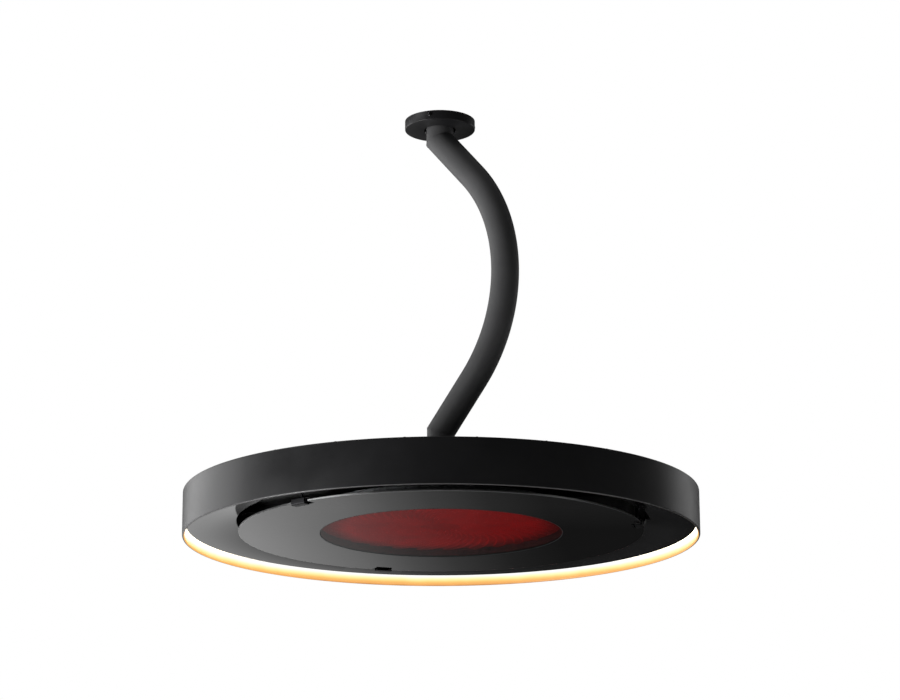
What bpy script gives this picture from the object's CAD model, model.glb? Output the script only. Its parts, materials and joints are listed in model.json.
"""Looks of a hanging patio heater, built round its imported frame.

Lengths in the sub-assemblies are in millimetres, as on a drawing, and every mesh is written in metres.
Lengths in the finishes and in the studio are in metres.
The origin is the centre of the face on the ceiling and +Z is up.
"""

from __future__ import annotations

import json
import logging
import math
from dataclasses import dataclass, field
from enum import Enum
from typing import Callable, Iterable, Mapping, Protocol, Sequence

import bmesh
import bpy
from mathutils import Matrix, Vector

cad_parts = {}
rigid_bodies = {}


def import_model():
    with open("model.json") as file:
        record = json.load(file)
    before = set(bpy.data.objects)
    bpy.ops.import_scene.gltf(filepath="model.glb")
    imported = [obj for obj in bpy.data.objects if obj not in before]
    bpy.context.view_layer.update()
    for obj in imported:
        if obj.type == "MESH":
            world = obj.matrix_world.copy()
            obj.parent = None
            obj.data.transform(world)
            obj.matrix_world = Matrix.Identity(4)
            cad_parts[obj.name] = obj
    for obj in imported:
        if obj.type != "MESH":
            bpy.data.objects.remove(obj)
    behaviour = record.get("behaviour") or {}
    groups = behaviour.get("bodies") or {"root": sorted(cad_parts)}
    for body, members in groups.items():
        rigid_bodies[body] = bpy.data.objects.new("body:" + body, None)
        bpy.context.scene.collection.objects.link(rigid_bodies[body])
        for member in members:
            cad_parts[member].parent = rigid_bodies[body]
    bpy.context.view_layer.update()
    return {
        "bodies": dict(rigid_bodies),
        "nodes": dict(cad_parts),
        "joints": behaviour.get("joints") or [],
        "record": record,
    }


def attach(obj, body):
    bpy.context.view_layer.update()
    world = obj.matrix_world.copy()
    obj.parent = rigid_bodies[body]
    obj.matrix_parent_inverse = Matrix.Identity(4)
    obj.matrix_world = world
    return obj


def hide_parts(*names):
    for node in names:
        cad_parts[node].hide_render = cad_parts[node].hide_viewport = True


MM = 0.001  # metres in a millimetre
TURNS = 288  # steps round a turned piece
FINE_TURNS = 384  # the same for the large rings near the camera
CREASE = 32.0  # degrees above which an edge stays sharp
OVER = 5.0  # millimetres that a cutter reaches past what it cuts
MERGE = 1e-6  # metres within which two points become one
ON_AXIS = 1e-6  # millimetres from the axis that count as on it
PETAL_JOINT = 0.00002  # metres within which the ends of two petals are joined
QUARTER = math.pi / 2
HEXAGON = range(0, 360, 60)
LOG = logging.getLogger("heater")

Point = tuple[float, float]
Corner = tuple[float, float, float]
Place = tuple[float, float, float]
Colour = tuple[float, float, float, float]
Socket = bpy.types.NodeSocket
Node = bpy.types.Node
Mesh = bpy.types.Mesh
Material = bpy.types.Material


class Body(Enum):
    """The two rigid bodies of the frame."""

    CEILING = "ceiling_mount"
    HANGER = "hanger"


# ---- Node helpers


def fill(node: Node, values: Mapping[str | int, object]) -> None:
    """Sets a node's inputs.

    Args:
        node: The node.
        values: Values by input, or sockets that are joined to it.
    """
    for key, value in values.items():
        if isinstance(value, Socket):
            node.id_data.links.new(value, node.inputs[key])
        else:
            node.inputs[key].default_value = value


class Nodes:
    """A node tree with short ways to add and join nodes."""

    tree: bpy.types.NodeTree

    def add(self, kind: str, values: Mapping[str | int, object] | None = None, **settings: object) -> Node:
        """Adds a node.

        Args:
            kind: The node's type, where a leading ShaderNode may be left out.
            values: Values of its inputs, or sockets that are joined to them.
            **settings: Its other properties.

        Returns:
            The node.
        """
        node = self.tree.nodes.new(kind if "Node" in kind else "ShaderNode" + kind)
        for key, value in settings.items():
            setattr(node, key, value)
        fill(node, values or {})
        return node

    def math(self, operation: str, *values: object) -> Socket:
        """Adds a sum.

        Args:
            operation: The operation's name.
            *values: Its values or sockets, in order.

        Returns:
            The result's socket.
        """
        return self.add("Math", dict(enumerate(values)), operation=operation).outputs[0]


class Bench(Nodes):
    """A material's node tree."""

    def __init__(self, name: str) -> None:
        """Makes an empty material with an output.

        Args:
            name: The material's name.
        """
        self.material = bpy.data.materials.new(name)
        self.material.use_nodes = True
        self.tree = self.material.node_tree
        self.tree.nodes.clear()
        self.output = self.add("OutputMaterial")
        self.place = self.add("TexCoord").outputs["Object"]

    def sum(self, one: Socket, two: Socket, share: float) -> Socket:
        """Adds a share of one value to another.

        Args:
            one: The main value.
            two: The value that is added.
            share: How much of it.

        Returns:
            The sum's socket.
        """
        return self.math("MULTIPLY_ADD", two, share, one)

    def noise(self, scale: float, detail: float = 3.0, rough: float = 0.5,
              stretch: Sequence[float] = (1, 1, 1)) -> Socket:
        """Adds a noise on the object's own coordinates.

        Args:
            scale: Features per metre.
            detail: Number of octaves.
            rough: How much the finer octaves count.
            stretch: Scale along each axis.

        Returns:
            The noise's value socket.
        """
        mapping = self.add("Mapping", {"Vector": self.place, "Scale": tuple(stretch)})
        return self.add("TexNoise", {"Vector": mapping.outputs["Vector"], "Scale": scale, "Detail": detail,
                                     "Roughness": rough}).outputs["Fac"]

    def radius(self) -> Socket:
        """Adds the distance from the object's Z axis.

        Returns:
            The distance's socket, in metres.
        """
        flat = self.add("VectorMath", {0: self.place, 1: (1.0, 1.0, 0.0)}, operation="MULTIPLY")
        return self.add("VectorMath", {0: flat.outputs[0]}, operation="LENGTH").outputs["Value"]

    def span(self, value: Socket, low: float, high: float, start: float = 0.3, end: float = 0.7) -> Socket:
        """Maps a value from start..end to low..high.

        Args:
            value: The socket that is mapped.
            low: What start becomes.
            high: What end becomes.
            start: Lowest value that is read.
            end: Highest value that is read.

        Returns:
            The mapped socket.
        """
        return self.add("MapRange", {"Value": value, "From Min": start, "From Max": end, "To Min": low,
                                     "To Max": high}).outputs["Result"]

    def blend(self, value: Socket, one: Colour, two: Colour, start: float = 0.3, end: float = 0.7) -> Socket:
        """Runs from one colour to another with a value.

        Args:
            value: The socket that picks the colour.
            one: The colour at start.
            two: The colour at end.
            start: Lowest value that is read.
            end: Highest value that is read.

        Returns:
            The colour's socket.
        """
        return self.add("Mix", {0: self.span(value, 0.0, 1.0, start, end), 6: one, 7: two},
                        data_type="RGBA").outputs[2]

    def ramp(self, value: Socket, stops: Sequence[tuple[float, Colour]]) -> Socket:
        """Reads a colour from a row of stops.

        Args:
            value: The socket that picks the colour, from 0 to 1.
            stops: Positions and colours in rising order.

        Returns:
            The colour's socket.
        """
        node = self.add("ValToRGB", {"Fac": value})
        row = node.color_ramp.elements
        while len(row) < len(stops):
            row.new(0.5)
        for element, (position, colour) in zip(row, stops):
            element.position = position
            element.color = colour
        return node.outputs["Color"]

    def bump(self, height: Socket, depth: float, strength: float = 1.0) -> Socket:
        """Makes a surface relief.

        Args:
            height: The relief's height, from 0 to 1.
            depth: Depth of the relief in metres.
            strength: Share of it that shows.

        Returns:
            The normal's socket.
        """
        return self.add("Bump", {"Height": height, "Strength": strength, "Distance": depth}).outputs["Normal"]

    def finish(self, surface: Socket) -> Material:
        """Ends the tree with a surface and returns the material."""
        fill(self.output, {"Surface": surface})
        return self.material

    def shader(self, **values: object) -> Material:
        """Ends the tree with the main shader.

        Args:
            **values: Values or sockets of its inputs, with underscores for spaces.

        Returns:
            The material.
        """
        node = self.add("BsdfPrincipled", {key.replace("_", " "): value for key, value in values.items()})
        return self.finish(node.outputs["BSDF"])


def grey(value: float) -> Colour:
    """A neutral colour."""
    return (value, value, value, 1.0)


def scaled(colour: Colour, factor: float, lift: float = 0.0) -> Colour:
    """A colour made lighter or darker.

    Args:
        colour: The colour.
        factor: What its channels are multiplied by.
        lift: What is added to them.

    Returns:
        The new colour, with no channel above 1.
    """
    return tuple(min(1.0, c * factor + lift) for c in colour[:3]) + (1.0,)


# ---- Finishes


class Finish(Protocol):
    """What every finish offers."""

    @property
    def name(self) -> str:
        """Name of its material."""

    def material(self) -> Material:
        """Builds the material."""


@dataclass(frozen=True)
class PowderCoat:
    """Baked black powder with a fine orange peel and faint handling marks."""

    name: str
    colour: Colour
    rough_low: float
    rough_high: float
    peel_depth: float = 0.00006
    cloud_scale: float = 9.0
    peel_scale: float = 420.0
    grain_scale: float = 1900.0

    def material(self) -> Material:
        """Builds the material.

        Returns:
            The material.
        """
        b = Bench(self.name)
        cloud = b.noise(self.cloud_scale, 4.0, 0.6)
        peel = b.noise(self.peel_scale, 2.0)
        grain = b.noise(self.grain_scale, 2.0, 0.6)
        lighter = scaled(self.colour, 1.45, 0.003)
        return b.shader(Base_Color=b.blend(b.sum(cloud, grain, 0.35), self.colour, lighter, 0.4, 0.95),
                        Roughness=b.span(b.sum(cloud, peel, 0.5), self.rough_low, self.rough_high, 0.45, 1.05),
                        Normal=b.bump(b.sum(peel, grain, 0.5), self.peel_depth))


@dataclass(frozen=True)
class Metal:
    """Bare or plated metal with a drawn grain and small stains."""

    name: str
    colour: Colour
    rough_low: float
    rough_high: float
    grain: tuple[float, float, float] = (1.0, 1.0, 0.06)
    grain_scale: float = 2600.0
    grain_depth: float = 0.00002
    stain_scale: float = 60.0

    def material(self) -> Material:
        """Builds the material.

        Returns:
            The material.
        """
        b = Bench(self.name)
        drawn = b.noise(self.grain_scale, 3.0, 0.65, self.grain)
        stain = b.noise(self.stain_scale, 5.0, 0.6)
        darker = scaled(self.colour, 0.72)
        return b.shader(Metallic=1.0,
                        Base_Color=b.blend(b.sum(stain, drawn, 0.4), darker, self.colour, 0.5, 0.95),
                        Roughness=b.span(b.sum(drawn, stain, 0.6), self.rough_low, self.rough_high, 0.5, 1.1),
                        Normal=b.bump(drawn, self.grain_depth))


@dataclass(frozen=True)
class Galvanised:
    """Zinc coated sheet with its crystal pattern."""

    name: str
    colour: Colour = (0.46, 0.47, 0.49, 1.0)
    crystal_scale: float = 130.0
    grain_scale: float = 900.0
    grain_depth: float = 0.00003

    def material(self) -> Material:
        """Builds the material.

        Returns:
            The material.
        """
        b = Bench(self.name)
        crystal = b.add("TexVoronoi", {"Vector": b.place, "Scale": self.crystal_scale})
        shade = b.add("RGBToBW", {"Color": crystal.outputs["Color"]}).outputs[0]
        grain = b.noise(self.grain_scale, 3.0)
        darker = scaled(self.colour, 0.7)
        return b.shader(Metallic=1.0,
                        Base_Color=b.blend(b.sum(shade, grain, 0.3), darker, self.colour, 0.2, 1.0),
                        Roughness=b.span(shade, 0.34, 0.55, 0.2, 0.8),
                        Normal=b.bump(grain, self.grain_depth))


@dataclass(frozen=True)
class Moulded:
    """Moulded plastic, rubber or ceramic with a spark-eroded grain."""

    name: str
    colour: Colour
    rough_low: float = 0.45
    rough_high: float = 0.62
    grain_scale: float = 1400.0
    grain_depth: float = 0.00005
    cloud_scale: float = 35.0
    mottle: float = 0.85

    def material(self) -> Material:
        """Builds the material.

        Returns:
            The material.
        """
        b = Bench(self.name)
        grain = b.noise(self.grain_scale, 3.0, 0.6)
        cloud = b.noise(self.cloud_scale, 4.0, 0.6)
        darker = scaled(self.colour, self.mottle)
        return b.shader(Specular_IOR_Level=0.45,
                        Base_Color=b.blend(b.sum(cloud, grain, 0.4), darker, self.colour, 0.5, 0.95),
                        Roughness=b.span(grain, self.rough_low, self.rough_high),
                        Normal=b.bump(grain, self.grain_depth))


def matted(b: Bench, lump: Socket) -> tuple[Socket, dict[str, object]]:
    """The skin that both fibre boards share.

    Args:
        b: The material's bench.
        lump: The noise of the board's larger lumps.

    Returns:
        The fibres' noise, and the shader's inputs that follow from it.
    """
    fibre = b.noise(520.0, 6.0, 0.75, (1.0, 0.35, 1.0))
    return fibre, {"Specular_IOR_Level": 0.1, "Roughness": b.span(fibre, 0.85, 1.0),
                   "Normal": b.bump(b.sum(lump, fibre, 0.8), 0.0008, 0.7)}


@dataclass(frozen=True)
class Insulation:
    """Pressed mineral fibre, browned by the heat near the ribbon."""

    name: str
    colour: Colour = (0.115, 0.095, 0.080, 1.0)
    scorch: Colour = (0.050, 0.036, 0.030, 1.0)
    lump_scale: float = 70.0

    def material(self) -> Material:
        """Builds the material.

        Returns:
            The material.
        """
        b = Bench(self.name)
        lump = b.noise(self.lump_scale, 4.0, 0.6)
        fibre, skin = matted(b, lump)
        return b.shader(Base_Color=b.blend(b.sum(lump, fibre, 0.6), self.scorch, self.colour, 0.55, 1.05), **skin)


@dataclass(frozen=True)
class GlowingFibre:
    """Scorched fibre board that takes up the ribbon's dull red, out to the petals' tips.

    Reach is the radius of the tips, edge half the width of the fall there, and residual what is left beyond.
    """

    name: str
    colour: Colour = (0.010, 0.004, 0.004, 1.0)
    glow: Colour = (1.0, 0.008, 0.012, 1.0)
    reach: float = 0.214
    edge: float = 0.020
    residual: float = 0.36
    strength: float = 0.225
    lump_scale: float = 30.0

    def material(self) -> Material:
        """Builds the material.

        Returns:
            The material.
        """
        b = Bench(self.name)
        lump = b.noise(self.lump_scale, 4.0, 0.6)
        fibre, skin = matted(b, lump)
        far = b.sum(b.radius(), b.span(lump, -1.0, 1.0), self.edge * 0.5)
        heat = b.span(far, 1.0, self.residual, self.reach - self.edge, self.reach + self.edge)
        power = b.span(b.sum(lump, fibre, 0.5), self.strength * 0.8, self.strength, 0.5, 0.9)
        return b.shader(Base_Color=b.blend(fibre, scaled(self.colour, 0.45), self.colour),
                        Emission_Color=self.glow, Emission_Strength=b.math("MULTIPLY", heat, power), **skin)


@dataclass(frozen=True)
class GlowingRibbon:
    """Resistance strip at a dull red heat, cooler in patches and at the tips, with a scaled skin."""

    name: str
    hot: Colour = (1.0, 0.008, 0.012, 1.0)
    cool: Colour = (0.62, 0.004, 0.008, 1.0)
    scale_dark: Colour = (0.006, 0.002, 0.002, 1.0)
    scale_light: Colour = (0.014, 0.004, 0.004, 1.0)
    strength: float = 0.30
    tips: float = 0.230
    tip_fall: float = 0.040
    tip_share: float = 0.30

    def material(self) -> Material:
        """Builds the material.

        Returns:
            The material.
        """
        b = Bench(self.name)
        patch = b.noise(18.0, 4.0, 0.6)
        streak = b.noise(330.0, 3.0, 0.7, (1.0, 1.0, 0.3))
        return b.shader(Specular_IOR_Level=0.2,
                        Base_Color=b.blend(streak, self.scale_dark, self.scale_light),
                        Roughness=b.span(streak, 0.6, 0.85),
                        Emission_Color=b.blend(b.sum(patch, streak, 0.55), self.cool, self.hot, 0.5, 1.0),
                        Emission_Strength=b.span(b.radius(), self.strength, self.strength * self.tip_share,
                                                 self.tips - self.tip_fall, self.tips),
                        Normal=b.bump(streak, 0.0001))


def dust(b: Bench) -> Socket:
    """The trace of dust on both kinds of glass."""
    return b.noise(14.0, 5.0, 0.65)


@dataclass(frozen=True)
class SmokedGlass:
    """Clear toughened glass with a smoky tint and a trace of dust."""

    name: str
    tint: Colour = (0.52, 0.27, 0.275, 1.0)
    index: float = 1.5
    rough_high: float = 0.012

    def material(self) -> Material:
        """Builds the material.

        Returns:
            The material.
        """
        b = Bench(self.name)
        haze = dust(b)
        return b.shader(IOR=self.index, Transmission_Weight=1.0,
                        Base_Color=b.blend(haze, self.tint, scaled(self.tint, 1.08)),
                        Roughness=b.span(haze, 0.0, self.rough_high, 0.45, 0.75))


@dataclass(frozen=True)
class BlackGlass:
    """Glass with black enamel fired on its back: a deep gloss with a trace of dust."""

    name: str
    colour: Colour = (0.012, 0.012, 0.013, 1.0)
    rough_low: float = 0.008
    rough_high: float = 0.035
    wave_scale: float = 5.0
    wave_depth: float = 0.00004

    def material(self) -> Material:
        """Builds the material.

        Returns:
            The material.
        """
        b = Bench(self.name)
        haze = dust(b)
        return b.shader(IOR=1.5,
                        Base_Color=b.blend(haze, self.colour, scaled(self.colour, 1.5)),
                        Roughness=b.span(haze, self.rough_low, self.rough_high, 0.4, 0.75),
                        Normal=b.bump(b.noise(self.wave_scale, 2.0), self.wave_depth))


@dataclass(frozen=True)
class OpalLight:
    """Opal acrylic lit from behind by a row of small lamps."""

    name: str
    strength: float = 4.0
    lamp_pitch: float = 0.0167
    glow: tuple[Colour, Colour] = ((1.0, 0.86, 0.60, 1.0), (1.0, 0.93, 0.76, 1.0))
    acrylic: tuple[Colour, Colour] = ((0.80, 0.74, 0.62, 1.0), (0.88, 0.84, 0.74, 1.0))

    def material(self) -> Material:
        """Builds the material.

        Returns:
            The material.
        """
        b = Bench(self.name)
        haze = b.noise(1.0 / self.lamp_pitch, 2.0)
        return b.shader(Roughness=0.4, Base_Color=b.blend(haze, *self.acrylic),
                        Emission_Color=b.blend(haze, *self.glow), Emission_Strength=self.strength)


@dataclass(frozen=True)
class LitWall:
    """The inner face of the head's wall, washed by the light ring: white at the slot, amber at the rim.

    The wash reads lighter towards the sides, by side_lift from side_from to side_to. Along the lowest
    hem_from..hem_to the near part of the ring, this side of near_y, keeps only the share bare of its light.
    """

    name: str
    top: float
    bottom: float
    side_from: float = 0.25
    side_to: float = 0.52
    side_lift: float = 0.24
    hem_from: float = 0.003
    hem_to: float = 0.005
    near_y: float = -0.110
    lit_y: float = -0.075
    bare: float = 0.03
    cloud: float = 0.03
    coat: tuple[Colour, Colour] = (grey(0.016), grey(0.026))
    stops: tuple[tuple[float, Colour], ...] = (
        (0.00, (0.56, 0.235, 0.066, 1.0)),
        (0.08, (0.88, 0.410, 0.112, 1.0)),
        (0.24, (0.96, 0.475, 0.132, 1.0)),
        (0.38, (0.99, 0.600, 0.175, 1.0)),
        (0.50, (1.00, 0.780, 0.270, 1.0)),
        (0.62, (1.00, 0.910, 0.420, 1.0)),
        (0.74, (1.00, 0.975, 0.600, 1.0)),
        (0.86, (1.00, 1.000, 0.880, 1.0)),
        (1.00, (1.00, 1.000, 1.000, 1.0)),
    )

    def material(self) -> Material:
        """Builds the material.

        Returns:
            The material.
        """
        b = Bench(self.name)
        place = b.add("SeparateXYZ", {"Vector": b.place}).outputs
        peel = b.noise(420.0, 2.0)
        beside = b.span(b.math("ABSOLUTE", place["X"]), 0.0, 1.0, self.side_from, self.side_to)
        level = b.sum(b.span(place["Z"], 0.0, 1.0, self.bottom, self.top), beside, self.side_lift)
        wash = b.ramp(b.sum(level, b.span(b.noise(22.0, 2.0), -1.0, 1.0), self.cloud), self.stops)
        above = b.span(place["Z"], 0.0, 1.0, self.bottom + self.hem_from, self.bottom + self.hem_to)
        beyond = b.span(place["Y"], self.bare, 1.0, self.near_y, self.lit_y)
        return b.shader(Base_Color=b.blend(peel, *self.coat), Roughness=b.span(peel, 0.32, 0.44),
                        Emission_Color=wash, Emission_Strength=b.math("MAXIMUM", above, beyond))


# ---- Mesh helpers


def arc(wide: float, high: float, degrees: Iterable[float], x: float = 0.0, y: float = 0.0) -> list[Point]:
    """Points of a circle or an ellipse.

    Args:
        wide: Its half width.
        high: Its half height.
        degrees: Angle of each point.
        x: First coordinate of its centre.
        y: Second coordinate of its centre.

    Returns:
        The points.
    """
    return [(x + wide * math.cos(math.radians(a)), y + high * math.sin(math.radians(a))) for a in degrees]


def all_round(count: int) -> list[float]:
    """Angles in degrees that share out a full turn."""
    return [360 * k / count for k in range(count)]


def rounded(corners: Sequence[Corner], steps: int = 6) -> list[Point]:
    """Rounds the corners of a closed outline.

    Args:
        corners: Points with the radius of the round at each.
        steps: Steps in each round.

    Returns:
        The outline's points.
    """
    out: list[Point] = []
    count = len(corners)
    for i, (x, y, r) in enumerate(corners):
        here = Vector((x, y))
        if r <= 0:
            out.append((x, y))
            continue
        back = Vector(corners[i - 1][:2]) - here
        ahead = Vector(corners[(i + 1) % count][:2]) - here
        back.normalize()
        ahead.normalize()
        half = back.angle(ahead) / 2
        reach = r / math.tan(half)
        centre = here + (back + ahead).normalized() * (r / math.sin(half))
        first = here + back * reach - centre
        last = here + ahead * reach - centre
        turn = first.angle_signed(last)
        for k in range(steps + 1):
            arm = first.copy()
            arm.rotate(Matrix.Rotation(-turn * k / steps, 2))
            out.append(((centre + arm).x, (centre + arm).y))
    return out


def smoothed(mesh: Mesh, crease: float = CREASE) -> Mesh:
    """Shades a mesh smooth between its sharp edges.

    Args:
        mesh: The mesh.
        crease: Angle in degrees above which an edge stays sharp.

    Returns:
        The same mesh.
    """
    mesh.shade_smooth()
    mesh.set_sharp_from_angle(angle=math.radians(crease))
    return mesh


def closed_mesh(name: str, verts: Sequence[Sequence[float]], faces: Sequence[Sequence[int]],
                zones: Sequence[int] | None = None, crease: float = CREASE) -> Mesh:
    """Makes a mesh with merged doubles, outward faces and smooth shading between sharp edges.

    Args:
        name: The mesh's name.
        verts: Vertices in millimetres.
        faces: Faces as rows of vertex numbers.
        zones: Material number of each face.
        crease: Angle in degrees above which an edge stays sharp.

    Returns:
        The mesh, in metres.
    """
    mesh = bpy.data.meshes.new(name)
    mesh.from_pydata([(x * MM, y * MM, z * MM) for x, y, z in verts], [], faces)
    if zones is not None:
        for _ in range(max(zones) + 1):
            mesh.materials.append(None)
        mesh.polygons.foreach_set("material_index", list(zones))
    work = bmesh.new()
    work.from_mesh(mesh)
    bmesh.ops.remove_doubles(work, verts=work.verts, dist=MERGE)
    bmesh.ops.recalc_face_normals(work, faces=work.faces)
    work.to_mesh(mesh)
    work.free()
    return smoothed(mesh, crease)


def turned(name: str, outline: Sequence[Point], zones: Sequence[int] | None = None,
           turns: int = TURNS, crease: float = CREASE) -> Mesh:
    """Turns a closed outline about +Z.

    Args:
        name: The mesh's name.
        outline: Points (radius, height) in order.
        zones: Material number of the strip that follows each point.
        turns: Steps round the axis.
        crease: Angle in degrees above which an edge stays sharp.

    Returns:
        The mesh.
    """
    count = len(outline)
    verts, faces, marks = [], [], []
    for j in range(turns):
        a = 2 * math.pi * j / turns
        verts += [(r * math.cos(a), r * math.sin(a), z) for r, z in outline]
    for j in range(turns):
        k = (j + 1) % turns
        for i in range(count):
            n = (i + 1) % count
            if outline[i][0] < ON_AXIS and outline[n][0] < ON_AXIS:
                continue
            faces.append((j * count + i, k * count + i, k * count + n, j * count + n))
            marks.append(zones[i] if zones else 0)
    return closed_mesh(name, verts, faces, marks, crease)


def bar(radius: float, low: float, high: float, turns: int) -> Mesh:
    """A plain round bar on the Z axis, for drilling.

    Args:
        radius: Its radius.
        low: Height of its lower end.
        high: Height of its upper end.
        turns: Steps round the axis.

    Returns:
        The mesh.
    """
    return turned("bar", [(0, low), (radius, low), (radius, high), (0, high)], turns=turns)


def prism(name: str, outline: Sequence[Point], low: float, high: float) -> Mesh:
    """Raises an outline in the XY plane to a closed prism.

    Args:
        name: The mesh's name.
        outline: Points (x, y) in order.
        low: Height of the lower face.
        high: Height of the upper face.

    Returns:
        The mesh.
    """
    count = len(outline)
    verts = [(x, y, low) for x, y in outline] + [(x, y, high) for x, y in outline]
    faces = [tuple(range(count - 1, -1, -1)), tuple(range(count, 2 * count))]
    faces += [(i, (i + 1) % count, count + (i + 1) % count, count + i) for i in range(count)]
    return closed_mesh(name, verts, faces)


def wire(name: str, points: Sequence[Place], closed: bool) -> Mesh:
    """A path of edges without faces.

    Args:
        name: The mesh's name.
        points: Its points in order, in millimetres.
        closed: Whether the last point is joined to the first.

    Returns:
        The mesh, in metres.
    """
    count = len(points)
    mesh = bpy.data.meshes.new(name)
    mesh.from_pydata([(x * MM, y * MM, z * MM) for x, y, z in points],
                     [(k, (k + 1) % count) for k in range(count if closed else count - 1)], [])
    return mesh


def moved(mesh: Mesh, matrix: Matrix) -> Mesh:
    """Moves a mesh's points by a matrix whose shift is in metres, and returns it."""
    mesh.transform(matrix)
    return mesh


def placed(name: str, data: bpy.types.ID) -> bpy.types.Object:
    """Puts data into the scene as an object.

    Args:
        name: The object's name.
        data: A mesh, a light or a camera.

    Returns:
        The object.
    """
    thing = bpy.data.objects.new(name, data)
    bpy.context.scene.collection.objects.link(thing)
    return thing


def evaluated(thing: bpy.types.Object) -> Mesh:
    """A new mesh of an object as its modifiers make it."""
    return bpy.data.meshes.new_from_object(thing.evaluated_get(bpy.context.evaluated_depsgraph_get()))


def discard(thing: bpy.types.Object) -> None:
    """Removes an object and its mesh.

    Args:
        thing: The object.
    """
    data = thing.data
    bpy.data.objects.remove(thing)
    bpy.data.meshes.remove(data)


def joined(name: str, parts: Sequence[Mesh]) -> Mesh:
    """Puts meshes together in one.

    Args:
        name: Name of the result.
        parts: The meshes, which are removed.

    Returns:
        The joined mesh.
    """
    work = bmesh.new()
    for part in parts:
        work.from_mesh(part)
        bpy.data.meshes.remove(part)
    mesh = bpy.data.meshes.new(name)
    work.to_mesh(mesh)
    work.free()
    return smoothed(mesh)


def cut_away(mesh: Mesh, cutters: Sequence[Mesh]) -> Mesh:
    """Cuts closed meshes out of another.

    Args:
        mesh: The mesh that is cut.
        cutters: The meshes that are cut out, which are removed.

    Returns:
        The cut mesh.
    """
    holder = placed("being_cut", mesh)
    tools = [placed("cutter", cutter) for cutter in cutters]
    for tool in tools:
        cut = holder.modifiers.new("cut", "BOOLEAN")
        cut.operation = "DIFFERENCE"
        cut.solver = "EXACT"
        cut.object = tool
    result = evaluated(holder)
    for thing in tools + [holder]:
        discard(thing)
    return smoothed(result)


def about_axis(degrees: float) -> Matrix:
    """A turn about +Z."""
    return Matrix.Rotation(math.radians(degrees), 4, "Z")


def spread(count: int, start: float) -> list[Matrix]:
    """Turns about +Z that share out the circle.

    Args:
        count: Number of turns.
        start: The first of them, in degrees.

    Returns:
        The turns.
    """
    return [about_axis(start + 360 / count * k) for k in range(count)]


def shifted(x: float, z: float) -> Matrix:
    """A shift by millimetres."""
    return Matrix.Translation((x * MM, 0, z * MM))


def outward(x: float, z: float) -> Matrix:
    """Lays what stands on the Z axis down along +X, with a shift by millimetres."""
    return shifted(x, z) @ Matrix.Rotation(QUARTER, 4, "Y")


# ---- Geometry Nodes


class Recipe(Nodes):
    """A Geometry Nodes tree with named inputs, which ends in Realize Instances and Set Material."""

    def __init__(self, name: str, inputs: Sequence[tuple[str, str, object]]) -> None:
        """Makes the tree and its inputs.

        Args:
            name: The tree's name.
            inputs: Name, socket type without the leading NodeSocket, and default of each input.
        """
        self.tree = bpy.data.node_groups.new(name, "GeometryNodeTree")
        face = self.tree.interface
        face.new_socket("Geometry", in_out="INPUT", socket_type="NodeSocketGeometry")
        for label, kind, default in inputs:
            socket = face.new_socket(label, in_out="INPUT", socket_type="NodeSocket" + kind)
            if default is not None:
                socket.default_value = default
        face.new_socket("Material", in_out="INPUT", socket_type="NodeSocketMaterial")
        face.new_socket("Geometry", in_out="OUTPUT", socket_type="NodeSocketGeometry")
        self.given = self.tree.nodes.new("NodeGroupInput").outputs
        self.result = self.tree.nodes.new("NodeGroupOutput")

    def about(self, count: Socket, pattern: Socket, start: object = 0.0) -> Socket:
        """Repeats a pattern round the Z axis.

        Args:
            count: Number of copies.
            pattern: The geometry that is repeated.
            start: Azimuth of the first copy, in radians.

        Returns:
            The copies' socket.
        """
        points = self.add("GeometryNodePoints", {"Count": count})
        index = self.add("GeometryNodeInputIndex").outputs[0]
        turn = self.math("ADD", self.math("MULTIPLY", index, self.math("DIVIDE", math.tau, count)), start)
        spin = self.add("CombineXYZ", {"Z": turn})
        return self.add("GeometryNodeInstanceOnPoints", {"Points": points.outputs[0], "Instance": pattern,
                                                         "Rotation": spin.outputs[0]}).outputs[0]

    def close(self, shape: Socket) -> None:
        """Ends the tree with real meshes and the material.

        Args:
            shape: The geometry that the tree has made.
        """
        real = self.add("GeometryNodeRealizeInstances", {"Geometry": shape})
        finish = self.add("GeometryNodeSetMaterial", {"Geometry": real.outputs[0], "Material": self.given["Material"]})
        fill(self.result, {0: finish.outputs[0]})

    def run(self, name: str, material: Material, start: Mesh | None = None, **values: object) -> Mesh:
        """Runs the tree and returns its result as a plain mesh.

        Args:
            name: Name of the result.
            material: The result's material.
            start: Mesh that the tree starts from, if it needs one. It is removed.
            **values: Values of the inputs, with underscores for spaces.

        Returns:
            The mesh.
        """
        holder = placed(name, start or bpy.data.meshes.new(name))
        run = holder.modifiers.new("recipe", "NODES")
        run.node_group = self.tree
        values["Material"] = material
        for item in self.tree.interface.items_tree:
            key = item.name.replace(" ", "_")
            if item.item_type == "SOCKET" and item.in_out == "INPUT" and key in values:
                run[item.identifier] = values[key]
        mesh = evaluated(holder)
        discard(holder)
        mesh.name = name
        return mesh


def ring_recipe() -> Recipe:
    """A pattern piece repeated round the axis.

    Returns:
        The recipe, with inputs Pattern, Count and Start.
    """
    r = Recipe("ring_of_pieces", (("Pattern", "Object", None), ("Count", "Int", 3), ("Start", "Float", 0.0)))
    pattern = r.add("GeometryNodeObjectInfo", {"Object": r.given["Pattern"]})
    r.close(r.about(r.given["Count"], pattern.outputs["Geometry"], r.math("RADIANS", r.given["Start"])))
    return r


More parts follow.
